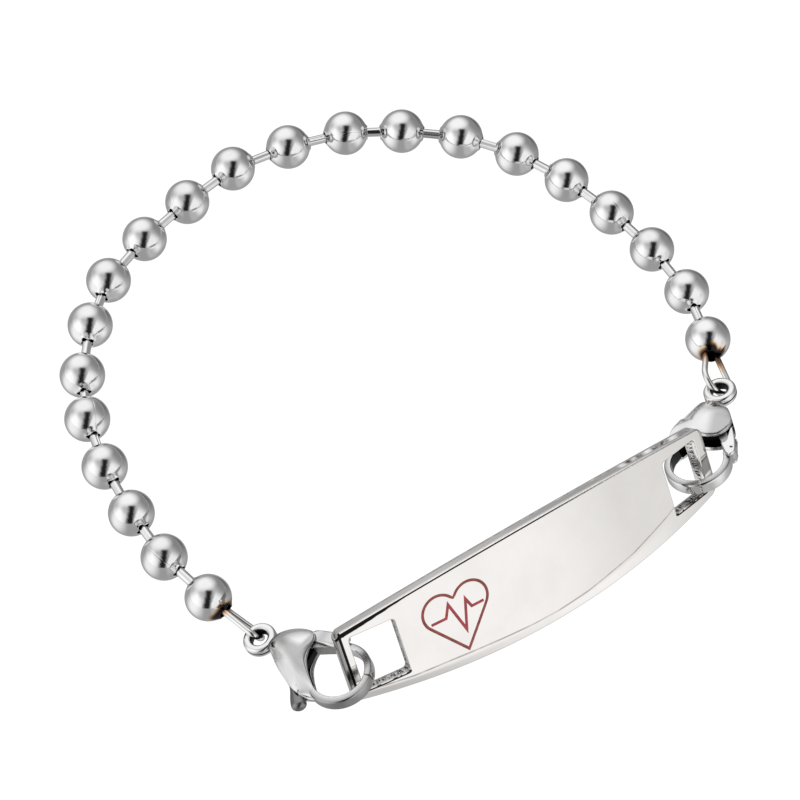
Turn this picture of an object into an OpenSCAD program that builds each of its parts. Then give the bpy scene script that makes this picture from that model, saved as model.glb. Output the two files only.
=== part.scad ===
// Identification bracelet lying on a table: a bent steel plate with a window at
// each end, a hollow ball chain, and a lobster clasp that joins each end of the
// chain to the plate. Millimetres, +Z up, the plate in front along X.

/* [Ball chain] */
// Diameter of a bead
bead_d = 4.8; // [4.6:0.1:5]
// Thickness of a bead's shell
bead_wall = 0.35; // [0.3:0.05:0.5]
// Diameter of the hole that a link passes through
bead_hole_d = 1.4; // [1.3:0.1:1.6]
// Diameter of the links between the beads
link_d = 1; // [0.9:0.05:1.1]
// Diameter of the heads that hold a link inside its beads
link_head_d = 1.9; // [1.8:0.1:2.2]

/* [Plate] */
// Length of the plate along its curved front face
plate_l = 45.4; // [45:0.1:46]
// Width of the plate in its middle
plate_mid_w = 11.5; // [11.2:0.1:12]
// Width of the plate at its ends
plate_end_w = 7.8; // [7.6:0.1:8]
// Thickness of the plate
plate_t = 1.6; // [1.5:0.05:1.65]
// Radius that the plate is bent to
plate_bend_r = 90; // [85:1:95]
// Length of each window
window_l = 5; // [4.9:0.05:5.05]
// Width of each window
window_w = 6.24; // [6.1:0.02:6.3]
// Solid bar left between a window and the end of the plate
end_bar = 0.85; // [0.8:0.01:0.9]
// How far the plate leans back, in degrees
plate_lean = 30.6; // [29:0.1:32]

/* [Emblem] */
// Width of the heart outline
emblem_w = 7.6; // [6:0.1:8]
// Width of the enamel line
emblem_line = 0.34; // [0.28:0.02:0.5]
// Depth of the groove that the enamel fills
emblem_depth = 0.2; // [0.15:0.01:0.3]

/* [Clasps] */
// Distance from the middle of the eye to the middle of the ring
clasp_reach = 10.2; // [10:0.05:10.3]
// Outer diameter of the ring that the hook and the gate form
ring_d = 7; // [6.9:0.05:7.1]
// Width of the ring's band, measured along its radius
ring_band = 0.75; // [0.7:0.01:0.8]
// Thickness of the ring's band
ring_t = 1.6; // [1.5:0.05:1.6]
// Outer diameter of the eye
eye_d = 3.5; // [3.4:0.05:3.6]
// Diameter of the hole in the eye
eye_hole_d = 1.9; // [1.85:0.01:1.95]
// Thickness of the eye
eye_t = 1; // [0.95:0.05:1.1]
// Thickness of the two shells together in the middle of the body
body_t = 3.4; // [3.2:0.1:3.6]
// Width of the slot between the shells
slot_w = 1.8; // [1.75:0.01:1.85]
// Diameter of the pin that the lever turns on
pin_d = 0.7; // [0.6:0.05:0.8]
// Diameter of the thumb piece
nub_d = 1.5; // [1.4:0.05:1.6]

/* [Wire loops] */
// Diameter of the wire
wire_d = 0.65; // [0.6:0.01:0.66]
// Distance between the two sides of the left loop at its wide end
left_loop_w = 2.1; // [2.05:0.05:2.2]
// Distance between the two sides of the right loop at its wide end
right_loop_w = 3.7; // [3.6:0.05:3.8]

/* [Hidden] */
$fn = 48;

// One row for each link: its length from bead middle to bead middle, and the
// turn to the right, in degrees, that the chain makes before it.
LENGTH = 0;
TURN = 1;
links = [
    [6.80, 0], [6.55, 10], [6.65, 6], [6.50, 8], [5.85, 11],
    [6.75, 12], [6.35, 11], [6.80, 17], [6.85, 8], [6.80, 5],
    [6.75, 17], [6.60, 10], [6.20, 15], [6.55, 10], [6.60, 15],
    [6.55, 13], [6.65, 9], [6.65, 7], [6.80, 8], [6.75, 14]
];
chain_start = [-31.7, -13.14];
chain_heading = 97;
bead_count = len(links) + 1;
bead_r = bead_d / 2;
bead_inner_r = bead_r - bead_wall;
head_far = bead_inner_r - 0.45;
head_near = head_far - 0.5;

// Place and turn of the plate and of the two clasps
plate_at = [-3.76, -32.4, 6.14];
plate_tip = -1.3;
left_clasp_at = [-30.03, -19.94, 1.53];
left_clasp_turn = [13.5, 11.34, -159.34];
right_clasp_at = [26.34, -22.78, 2.37];
right_clasp_turn = [2.8, 16.4, 129.4];

// Plate
half_l = plate_l / 2;
plate_end_deg = half_l / plate_bend_r * 180 / PI;
plate_half_x = plate_bend_r * sin(plate_end_deg);
mid_h = plate_mid_w / 2;
end_h = plate_end_w / 2;
belly_r = (pow(plate_half_x, 2) + pow(mid_h - end_h, 2)) / (2 * (mid_h - end_h));
window_at = half_l - end_bar - window_l / 2;
window_deg = window_at / plate_bend_r * 180 / PI;
window_corner_r = 0.5;
plate_corner_r = 0.8;
// Bevels along the front edges: [distance up the face, depth into the edge]
lower_bevel = [1.1, 0.45];
upper_bevel = [0.3, 0.3];

// Emblem, measured on the face of the plate from its middle
emblem_at = [-10.45, -0.1];
groove_gap = 0.03;
// The heart: round lobes, and straight sides that meet in a foot
lobe_r = emblem_w * 0.27;
lobe_at = [emblem_w / 2 - lobe_r, lobe_r * 0.75];
lobe_steps = 12;
foot = emblem_w / 2;
foot_deg = atan2(lobe_at[0], lobe_at[1] + foot) + asin(lobe_r / norm(lobe_at + [0, foot]));
// How far the pulse line's groove runs on, into the heart's
pulse_lap = 0.3;
// The pulse line's corners, in sixteenths of the heart's width
pulse = [[-6.3, 1.4], [-2.8, 1.4], [-1.5, 4.2], [0.8, -3], [2.5, 3.6], [3.4, 1.4], [6.3, 1.4]];

// Clasp, seen with the eye at the origin and the ring along +Y: the hook and
// the thumb piece are on the +X side, the gate and the pivot on the -X side
ring_c = [0, clasp_reach];
ring_r = ring_d / 2;
ring_inner_r = ring_r - ring_band;
pivot = [-3, clasp_reach - 1.9];
pivot_boss_r = 0.8;
horn_r = 0.85;
horn_t = 0.35;
horn_root = [-1.95, 5.5];
// Circles that the outline of a shell runs round: [x, y, radius]
outline = [
    [-0.35, 2.05, 0.85], [2, 6, 1.1], [2.75, 8.6, 0.9], [-1.75, 5, 1.15], [-1.4, 3.3, 1.2]
];
pin_gap = 0.04;
// The gate's tip and the hook's tip are cut by circles about the pivot
gate_reach = 5.2;
tip_gap = 0.12;
hook_from = -30;
hook_root_to = -8;
arm_w = 1.2;
arm_t = 1.4;
arm_bend = [-1.5, 6];
arm_end = [2.6, 6.1];
nub_end = [4.5, 8.2];
dome_c = [0.5, 5.6];
dome_r = 11;
rim_c = [-2.6, 12.2];
rim_r = 5.95;

// Wire loops: the narrow end lies inside the bead, the wide end in the eye
loop_tail_r = 0.5;
loop_tail_at = 1.25;
eye_wall = (eye_d - eye_hole_d) / 2;
// Where on the eye each loop hangs, as an angle from the clasp's +X, and how
// far its wire stays from the eye's wall
left_loop_deg = -109;
right_loop_deg = -68;
left_loop_slack = 0.3;
right_loop_slack = 0.5;
leg_d = wire_d - 0.06;
leg_lap = 0.08;
left_loop_turn = 29;
right_loop_turn = 47;

function heading(i) = i == 0 ? chain_heading : heading(i - 1) - links[i][TURN];
function bead_at(i) = i == 0
    ? [chain_start[0], chain_start[1], bead_r]
    : bead_at(i - 1) + links[i - 1][LENGTH] * [cos(heading(i - 1)), sin(heading(i - 1)), 0];

// A vector turned in the way that rotate() turns a shape
function turned(v, t) = let (
        a = [v[0], v[1] * cos(t[0]) - v[2] * sin(t[0]), v[1] * sin(t[0]) + v[2] * cos(t[0])],
        b = [a[0] * cos(t[1]) + a[2] * sin(t[1]), a[1], a[2] * cos(t[1]) - a[0] * sin(t[1])])
    [b[0] * cos(t[2]) - b[1] * sin(t[2]), b[0] * sin(t[2]) + b[1] * cos(t[2]), b[2]];

// Middle of the eye's wall where a loop hangs
function eye_wall_at(at, turn, deg) = let (r = (eye_d + eye_hole_d) / 4)
    at + turned([r * cos(deg), r * sin(deg), 0], turn);

// Turns that bring +Z along a direction
function aim(v) = [0, acos(v[2] / norm(v)), atan2(v[1], v[0])];

// A straight bar with round ends, as a flat outline
module bar2d(a, b, w) {
    along = b - a;
    deg = atan2(along[1], along[0]);
    polygon(concat(
        [for (k = [0:8]) a + w / 2 * [cos(deg + 90 + k * 22.5), sin(deg + 90 + k * 22.5)]],
        [for (k = [0:8]) b + w / 2 * [cos(deg - 90 + k * 22.5), sin(deg - 90 + k * 22.5)]]));
}

// Part of a flat ring about ring_c, from one angle to another
module ring_arc(outer, inner, t, from, to) {
    translate([ring_c[0], ring_c[1], 0]) rotate([0, 0, from])
        rotate_extrude(angle = to - from, $fn = 96)
            translate([inner, -t / 2]) square([outer - inner, t]);
}

// Ball chain
module bead_shell(i, toward) {
    side = [0, 0, heading(min(i, bead_count - 2)) + 90];
    translate(bead_at(i)) rotate(side) difference() {
        sphere(r = bead_r);
        sphere(r = bead_inner_r);
        for (j = toward)
            rotate(aim(bead_at(j) - bead_at(i)) - side) cylinder(d = bead_hole_d, h = bead_d);
    }
}

module chain_link(i) {
    reach = links[i][LENGTH];
    translate(bead_at(i)) rotate(aim(bead_at(i + 1) - bead_at(i))) {
        translate([0, 0, head_near]) cylinder(d = link_d, h = reach - 2 * head_near);
        translate([0, 0, head_near]) cylinder(d = link_head_d, h = head_far - head_near);
        translate([0, 0, reach - head_far]) cylinder(d = link_head_d, h = head_far - head_near);
    }
}

// A pear-shaped wire loop in the XZ plane, its narrow end near the origin and
// its wide end at z = reach
module wire_loop(reach, w) {
    wide_r = w / 2;
    wide_at = reach - wide_r;
    spread = asin((wide_r - loop_tail_r) / (wide_at - loop_tail_at));
    side = sqrt(pow(wide_at - loop_tail_at, 2) - pow(wide_r - loop_tail_r, 2));
    rotate([90, 0, 0]) {
        translate([0, wide_at, 0]) rotate([0, 0, -spread])
            rotate_extrude(angle = 180 + 2 * spread) translate([wide_r, 0]) circle(d = wire_d);
        translate([0, loop_tail_at, 0]) rotate([0, 0, 180 + spread])
            rotate_extrude(angle = 180 - 2 * spread) translate([loop_tail_r, 0]) circle(d = wire_d);
    }
    for (s = [-1, 1])
        translate([s * loop_tail_r * cos(spread), 0, loop_tail_at - loop_tail_r * sin(spread)])
            rotate([0, s * spread, 0]) translate([0, 0, -leg_lap])
                cylinder(d = leg_d, h = side + 2 * leg_lap);
}

module end_bead(i, neighbour, wall_at, turn, w, slack) {
    to_wall = wall_at - bead_at(i);
    color("silver") {
        bead_shell(i, [neighbour]);
        translate(bead_at(i)) rotate(aim(to_wall)) rotate([0, 0, turn])
            wire_loop(norm(to_wall) + eye_wall / 2 + wire_d / 2 + slack, w);
    }
}

// Plate, in its own frame: X along it, Z across it, the front face at y = 0
module bent_sheet(front, back, h) {
    translate([0, plate_bend_r, 0]) rotate([0, 0, -90 - plate_end_deg])
        rotate_extrude(angle = 2 * plate_end_deg, $fn = 360)
            translate([plate_bend_r - back, -h / 2]) square([back - front, h]);
}

module belly_cylinder(side) {
    translate([0, 0, side * (mid_h - belly_r)]) rotate([90, 0, 0])
        cylinder(r = belly_r, h = 40, center = true, $fn = 720);
}

// A cylinder that shaves a long front edge, with its curve matched to the edge
module bevel_cylinder(side, bevel) {
    slope = norm(bevel);
    r = slope / (bevel[0] / plate_bend_r + bevel[1] / belly_r);
    translate([0, r * bevel[0] / slope, side * (mid_h - bevel[0] - r * bevel[1] / slope)])
        rotate([-side * atan2(bevel[1], bevel[0]), 0, 0])
            cylinder(r = r, h = 60, center = true, $fn = 720);
}

module window_cutter(side) {
    r = window_corner_r;
    translate([0, plate_bend_r, 0]) rotate([0, 0, side * window_deg])
        translate([0, -plate_bend_r, 0]) rotate([90, 0, 0])
            linear_extrude(height = 6 * plate_t, center = true) {
                square([window_l - 2 * r, window_w], center = true);
                square([window_l, window_w - 2 * r], center = true);
                for (x = [-1, 1], z = [-1, 1])
                    translate([x * (window_l / 2 - r), z * (window_w / 2 - r)]) circle(r = r);
            }
}

module corner_cutter(x, z) {
    r = plate_corner_r;
    translate([0, plate_bend_r, 0]) rotate([0, 0, x * plate_end_deg])
        translate([0, -plate_bend_r, 0]) mirror([x < 0 ? 1 : 0, 0, 0]) mirror([0, 0, z < 0 ? 1 : 0])
            translate([-r, 0, end_h - r]) rotate([90, 0, 0])
                linear_extrude(height = 6 * plate_t, center = true) difference() {
                    square(2 * r);
                    circle(r = 1.07 * r);
                }
}

// Corners of a heart with its middle at the origin, wider by grow all round
function heart_half(grow) = let (
        r = lobe_r + grow,
        last = 180 - acos(lobe_at[0] / (lobe_r + max(grow, 0))),
        step = (last + foot_deg) / lobe_steps,
        notch = lobe_at[1] + lobe_r * sin(last) + min(grow, 0))
    concat(
        [for (k = [0:lobe_steps - 1]) lobe_at + r * [cos(k * step - foot_deg), sin(k * step - foot_deg)]],
        [[0, grow < 0 ? notch : lobe_at[1] + r * sin(last)]]);

function heart_points(grow) = let (half = heart_half(grow)) concat(
    [[0, -foot - grow / sin(foot_deg)]],
    half,
    [for (k = [lobe_steps - 1:-1:0]) [-half[k][0], half[k][1]]]);

// One corner of the pulse line's edge, on the side given by s, with a mitre
function pulse_deg(k) = let (d = pulse[k + 1] - pulse[k]) atan2(d[1], d[0]);
function pulse_corner(k, s, w, more) = let (
        before = pulse_deg(max(k - 1, 0)),
        after = pulse_deg(min(k, len(pulse) - 2)),
        mid = (before + after) / 2,
        past = k == 0 ? -more : k == len(pulse) - 1 ? more : 0)
    pulse[k] * emblem_w / 16 + [past, 0] + s * w / 2 / cos((after - before) / 2) * [-sin(mid), cos(mid)];

module pulse2d(w, more) {
    polygon(concat(
        [for (k = [0:len(pulse) - 1]) pulse_corner(k, -1, w, more)],
        [for (k = [len(pulse) - 1:-1:0]) pulse_corner(k, 1, w, more)]));
}

module heart2d(grow) {
    difference() {
        polygon(heart_points(grow));
        polygon(heart_points(-emblem_line - grow));
    }
}

// What a flat drawing covers of the plate's face, between two depths
module on_face(front, back) {
    intersection() {
        bent_sheet(front, back, plate_mid_w);
        translate([emblem_at[0], 0, emblem_at[1]]) rotate([90, 0, 0])
            linear_extrude(height = 4 * plate_t, center = true) children();
    }
}

module place_plate() {
    translate(plate_at) rotate([0, -plate_tip, 0]) rotate([-plate_lean, 0, 0]) children();
}

module id_plate() {
    color("silver") place_plate() difference() {
        intersection() {
            bent_sheet(0, plate_t, plate_mid_w + 2);
            belly_cylinder(-1);
            belly_cylinder(1);
            bevel_cylinder(-1, lower_bevel);
            bevel_cylinder(1, upper_bevel);
        }
        for (side = [-1, 1]) {
            window_cutter(side);
            for (z = [-1, 1]) corner_cutter(side, z);
        }
        on_face(-1, emblem_depth) heart2d(groove_gap);
        on_face(-1, emblem_depth) pulse2d(emblem_line + 2 * groove_gap, pulse_lap);
    }
}

module emblem_heart() {
    color([0.62, 0.22, 0.18]) place_plate()
        on_face(-0.02, emblem_depth - groove_gap) heart2d(0);
}

module emblem_pulse() {
    color([0.78, 0.22, 0.26]) place_plate()
        on_face(-0.02, emblem_depth - groove_gap) pulse2d(emblem_line, 0);
}

// Clasp
module dome() {
    intersection_for (s = [-1, 1])
        translate([dome_c[0], dome_c[1], s * (dome_r - body_t / 2)]) sphere(r = dome_r, $fn = 96);
}

module round_cutter(c, r) {
    translate([c[0], c[1], -body_t]) cylinder(r = r, h = 2 * body_t, $fn = 96);
}

// Direction square to the line that touches two circles of the outline
function touch_deg(a, b) = let (d = [b[0] - a[0], b[1] - a[1]])
    atan2(d[1], d[0]) - acos((a[2] - b[2]) / norm(d));

// Corners of the outline: an arc round each circle, from one line to the next
function outline_points(n) = [
    for (k = [0:len(outline) - 1])
        let (c = outline[k],
            from = touch_deg(outline[(k + len(outline) - 1) % len(outline)], c),
            turn = (touch_deg(c, outline[(k + 1) % len(outline)]) - from + 720) % 360)
        for (i = [0:n]) [c[0] + c[2] * cos(from + turn * i / n), c[1] + c[2] * sin(from + turn * i / n)]
];

// The two domed shells, cut away for the ring's opening, with the slot between
// them and the two flat horns that hold the pin
module shells() {
    difference() {
        union() {
            intersection() {
                dome();
                difference() {
                    linear_extrude(height = 2 * body_t, center = true) polygon(outline_points(6));
                    round_cutter(rim_c, rim_r);
                }
            }
            linear_extrude(height = slot_w + 2 * horn_t, center = true)
                bar2d(pivot, horn_root, 2 * horn_r);
        }
        linear_extrude(height = slot_w, center = true)
            polygon([[-6, 4.7], [-1, 3.7], [1.5, 3.1], [6, 3.1], [6, 14], [-6, 14]]);
        round_cutter(ring_c, ring_inner_r);
        round_cutter(pivot, pin_d / 2 + pin_gap);
    }
}

module clasp_body() {
    shells();
    // Hook, and its root between the two shells
    difference() {
        ring_arc(ring_r, ring_inner_r, ring_t, hook_from, 125);
        round_cutter(pivot, gate_reach + tip_gap);
    }
    intersection() {
        dome();
        ring_arc(ring_r + 0.2, ring_inner_r, 2 * body_t, hook_from, hook_root_to);
    }
    // Eye
    rotate_extrude() {
        translate([eye_hole_d / 2, (eye_wall - eye_t) / 2]) square([eye_wall, eye_t - eye_wall]);
        for (s = [-1, 1])
            translate([(eye_d + eye_hole_d) / 4, s * (eye_t - eye_wall) / 2]) circle(d = eye_wall);
    }
}

module clasp_lever() {
    difference() {
        union() {
            intersection() {
                ring_arc(ring_r, ring_inner_r, ring_t, 95, 205);
                round_cutter(pivot, gate_reach);
            }
            linear_extrude(height = ring_t, center = true) translate(pivot) circle(r = pivot_boss_r);
            linear_extrude(height = arm_t, center = true) {
                bar2d(pivot, arm_bend, arm_w);
                bar2d(arm_bend, arm_end, arm_w);
            }
            // Thumb piece with a round end
            translate([arm_end[0], arm_end[1], 0]) {
                push = nub_end - arm_end;
                rotate(aim([push[0], push[1], 0])) {
                    cylinder(d = nub_d, h = norm(push));
                    translate([0, 0, norm(push)]) sphere(d = nub_d);
                    sphere(d = nub_d);
                }
            }
        }
        round_cutter(pivot, pin_d / 2 + pin_gap);
    }
}

module clasp_pin() {
    translate([pivot[0], pivot[1], -slot_w / 2 - horn_t]) cylinder(d = pin_d, h = slot_w + 2 * horn_t);
}

module at_left() {
    color("silver") translate(left_clasp_at) rotate(left_clasp_turn) children();
}

module at_right() {
    color("silver") translate(right_clasp_at) rotate(right_clasp_turn) children();
}

id_plate();
emblem_heart();
emblem_pulse();
end_bead(0, 1, eye_wall_at(left_clasp_at, left_clasp_turn, left_loop_deg),  // end_bead_left
        left_loop_turn, left_loop_w, left_loop_slack);
end_bead(bead_count - 1, bead_count - 2,  // end_bead_right
        eye_wall_at(right_clasp_at, right_clasp_turn, right_loop_deg),
        right_loop_turn, right_loop_w, right_loop_slack);
for (i = [1:bead_count - 2])
    color("silver") bead_shell(i, [i - 1, i + 1]);
for (i = [1:bead_count - 1])
    color("gainsboro") chain_link(i - 1);
at_left() clasp_body();  // clasp_body_left
at_left() clasp_lever();  // clasp_lever_left
at_left() clasp_pin();  // clasp_pin_left
at_right() clasp_body();  // clasp_body_right
at_right() clasp_lever();  // clasp_lever_right
at_right() clasp_pin();  // clasp_pin_right
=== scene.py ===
# %% [markdown]
# # A steel identification bracelet
# This file dresses a CAD model of a bracelet: a bent steel plate with a window at each end, a chain of hollow
# balls, two lobster clasps and a red enamel emblem. Each piece is a surface worked out with numpy in
# millimetres, in the frame that the CAD model uses. The CAD solids stay underneath for collision.

# %% Load the fixed frame
import bmesh
import bpy
import numpy as np
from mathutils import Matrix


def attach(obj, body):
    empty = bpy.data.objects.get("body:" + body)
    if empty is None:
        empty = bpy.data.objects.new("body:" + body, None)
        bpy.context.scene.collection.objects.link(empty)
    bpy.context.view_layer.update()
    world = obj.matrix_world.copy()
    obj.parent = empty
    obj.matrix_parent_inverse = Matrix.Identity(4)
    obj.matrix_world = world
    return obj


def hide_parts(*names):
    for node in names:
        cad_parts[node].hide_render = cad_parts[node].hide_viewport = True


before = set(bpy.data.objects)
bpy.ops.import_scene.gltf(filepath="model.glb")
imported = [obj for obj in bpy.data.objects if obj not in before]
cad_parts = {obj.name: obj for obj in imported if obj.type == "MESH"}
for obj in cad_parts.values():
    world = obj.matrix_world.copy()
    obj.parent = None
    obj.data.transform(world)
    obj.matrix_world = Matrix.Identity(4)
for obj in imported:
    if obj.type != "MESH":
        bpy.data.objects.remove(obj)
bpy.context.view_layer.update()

# %% [markdown]
# ## The camera
# The photograph looks down on the bracelet at about 52 degrees, from the front left, through a long lens. A long
# lens keeps the near and the far balls almost the same size. The camera comes first, because each piece is judged
# through it.

# %% Camera
from mathutils import Vector

MM = 0.001
CAMERA_AT = Vector((-150.45, -211.05, 332.81))
LOOKS_AT = Vector((-1.4, -4.04, 2.4))


def new_object(name, data):
    made = bpy.data.objects.new(name, data)
    bpy.context.scene.collection.objects.link(made)
    return made


camera = new_object("camera", bpy.data.cameras.new("camera"))
camera.location = CAMERA_AT * MM
camera.rotation_euler = (LOOKS_AT - CAMERA_AT).to_track_quat("-Z", "Y").to_euler()
camera.data.lens = 180
camera.data.clip_start = 0.01
bpy.context.scene.camera = camera
print("camera distance in mm:", round((LOOKS_AT - CAMERA_AT).length, 1))

# %% [markdown]
# ## Shader maths as Python
# Polished steel is mostly what it reflects, so its material is short: a base colour, a roughness and a small bump
# that vary over the surface. Two small classes keep such materials readable. `Wire` is one socket, and arithmetic
# on it adds Math nodes. `Finish` is a material, and its method `node` makes any other node.

# %% Wires and finishes
class Wire:
    """One output socket. Plus, minus, times and over add a Math node with both numbers."""

    def __init__(self, finish, socket):
        self.finish, self.socket = finish, socket

    def math(self, operation, first, second=0.0):
        return self.finish.node("Math", {0: first, 1: second}, operation=operation)

    def __abs__(self):
        return self.math("ABSOLUTE", self)

    def between(self, low, high):
        """0 below low, 1 above high, and a smooth step from one to the other."""
        return self.finish.node("MapRange", {0: self, 1: low, 2: high}, interpolation_type="SMOOTHSTEP")


for sign, operation in (("add", "ADD"), ("sub", "SUBTRACT"), ("mul", "MULTIPLY"), ("truediv", "DIVIDE")):
    setattr(Wire, f"__{sign}__", lambda a, b, operation=operation: a.math(operation, a, b))
    setattr(Wire, f"__r{sign}__", lambda a, b, operation=operation: a.math(operation, b, a))


class Finish:
    """A material, or the world, with its node tree and the shader that ends it."""

    def __init__(self, owner, shader="ShaderNodeBsdfPrincipled"):
        owner.use_nodes = True
        self.owner, self.tree = owner, owner.node_tree
        self.tree.nodes.clear()
        self.shader = self.tree.nodes.new(shader)

    def node(self, kind, sockets=None, output=0, stops=None, **settings):
        """One node: its settings first, then the values or links of its sockets. Returns one output as a Wire."""
        made = self.tree.nodes.new("ShaderNode" + kind)
        for key, value in settings.items():
            setattr(made, key, value)
        if stops:
            while len(made.color_ramp.elements) < len(stops):
                made.color_ramp.elements.new(0.5)
            for element, (place, colour) in zip(made.color_ramp.elements, stops):
                element.position, element.color = place, (*colour, 1.0)
        for key, value in (sockets or {}).items():
            self.plug(made.inputs[key], value)
        return Wire(self, made.outputs[output])

    def plug(self, socket, value):
        if isinstance(value, Wire):
            self.tree.links.new(value.socket, socket)
        else:
            socket.default_value = (*value, 1.0) if socket.type == "RGBA" else value

    def set(self, **sockets):
        """Values or links of the shader's own sockets, with _ for a space in their names."""
        for key, value in sockets.items():
            self.plug(self.shader.inputs[key.replace("_", " ")], value)
        return self

    def out(self, kind="OutputMaterial"):
        end = self.tree.nodes.new("ShaderNode" + kind)
        self.tree.links.new(self.shader.outputs[0], end.inputs[0])
        return self.owner

    def mix(self, factor, a, b):
        """A colour between a and b."""
        return self.node("Mix", {0: factor, 6: a, 7: b}, output=2, data_type="RGBA")

    def noise(self, vector, scale, detail=3.0, rough=0.5):
        return self.node("TexNoise", {"Vector": vector, "Scale": scale, "Detail": detail, "Roughness": rough})

    def bump(self, height):
        return self.node("Bump", {"Height": height, "Distance": 1.0, "Strength": 1.0})

    def mark(self, name):
        """A number that a Form wrote on the points of its mesh."""
        return self.node("Attribute", attribute_name=name, attribute_type="GEOMETRY", output=2)


print("shader helpers ready")

# %% [markdown]
# ## Light
# A mirror-like bead shows the whole studio. In the photograph each ball has one dark upright streak in its middle,
# where the gap between two big soft lights faces the camera, a bright field left and right of it, and a lighter
# crown. The studio is a world whose tone depends only on direction, because soft boxes at a distance do the same
# and this has no noise. Directions are measured from the side that the photograph was taken from.

# %% Studio world
TOWARD = (-0.5843, -0.8116, 0.0)
RIGHTWARD = (0.8116, -0.5843, 0.0)
studio = Finish(bpy.data.worlds.new("studio"), "ShaderNodeBackground")
bpy.context.scene.world = studio.owner
way = studio.node("TexCoord", output=0)


def part_of(direction):
    return studio.node("VectorMath", {0: way, 1: direction}, output=1, operation="DOT_PRODUCT")


front, right, up = part_of(TOWARD), part_of(RIGHTWARD), part_of((0.0, 0.0, 1.0))


def lobe(psi, elevation, inner, outer):
    """1 within inner degrees of a direction, 0 beyond outer degrees, smooth between."""
    p, e, inner, outer = np.radians([psi, elevation, inner, outer])
    axis = np.cos(e) * (np.cos(p) * np.array(TOWARD) + np.sin(p) * np.array(RIGHTWARD)) + [0.0, 0.0, np.sin(e)]
    return part_of(tuple(axis)).between(np.cos(outer), np.cos(inner))


def below(value, low, high):
    return 1.0 - value.between(low, high)


left_box = (0.0 - right).between(0.15, 0.85) * front.between(-0.45, 0.25) * below(up, 0.50, 0.93)
right_box = right.between(0.08, 0.32) * front.between(-0.15, 0.45) * below(up - 1.15 * right, 0.02, 0.28)
back_box = lobe(-160, 48, 14, 52)
side_dark = lobe(136, 8, 8, 56)
uneven = studio.noise(way, 5.0, 2.0) - 0.5
off_middle = abs(right - (0.21 * up - 0.12) + 0.22 * uneven) / 0.235
gap = below(off_middle, 0.45, 1.9) * front.between(-0.14, 0.12) * up.between(-0.03, 0.02)
floor_side = below(up, -0.04, 0.02)
low_front = floor_side * below(right, 0.50, 0.90)
tone = (0.56 + 0.72 * left_box + 0.52 * right_box * (1.0 - 0.7 * low_front) + 0.58 * back_box
        - 0.27 * side_dark - 0.16 * low_front)
tone = tone * (1.0 - 0.97 * gap)
# A low white card in front of the plate, which fills its face with an even tone
card = right.between(0.30, 0.60) * front.between(-0.02, 0.34) * below(abs(up + 0.01), 0.13, 0.24)
card_tone = 0.80 + 0.24 * front.between(0.26, 0.58)
tone = tone + 0.92 * card * (card_tone - tone)
seen = studio.node("LightPath", output=0)
studio.set(Strength=tone * (1.0 - seen) + seen, Color=(1.0, 1.0, 1.0)).out("OutputWorld")
print("studio: two soft boxes, a back light and a dark gap")

# %% [markdown]
# The table is a pale sheet. The photograph shows it pure white, with no shadow, so it glows a little under the
# camera and takes only a faint shadow. The steel reflects the studio's own lower half instead of it.

# %% Table
table_mesh = bpy.data.meshes.new("table")
table_mesh.from_pydata([(-3, -3, 0), (3, -3, 0), (3, 3, 0), (-3, 3, 0)], [], [(0, 1, 2, 3)])
table = new_object("table", table_mesh)
table.visible_glossy = False
table.visible_diffuse = False
pale = Finish(bpy.data.materials.new("pale_table"), "ShaderNodeMixShader")
glow = pale.node("Emission", {"Color": (1, 1, 1), "Strength": 1.12})
matte = pale.node("BsdfDiffuse", {"Color": (0.95, 0.95, 0.95)})
for socket, value in zip(pale.shader.inputs, (0.10, glow, matte)):
    pale.plug(socket, value)
table_mesh.materials.append(pale.out())
bpy.context.scene.view_settings.view_transform = "Standard"
print("table ready")

# %% [markdown]
# ## Turning number grids into pieces
# A grid of points with rows and columns is a surface: each square between neighbours is a face. A `Form` gathers
# the grids of one piece, joins the points that meet (so seams and poles close), makes every face point outward
# and gives the piece its body and its material. `np.r_` joins arrays end to end.

# %% Forms
def squares(rows, cols, wrap_rows, wrap_cols):
    """Corner numbers of all squares of a grid that may close on itself in either direction."""
    r, c = np.meshgrid(np.arange(rows - (not wrap_rows)), np.arange(cols - (not wrap_cols)), indexing="ij")
    r2, c2 = (r + 1) % rows, (c + 1) % cols
    return np.stack([r * cols + c, r * cols + c2, r2 * cols + c2, r2 * cols + c], -1).reshape(-1, 4)


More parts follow.
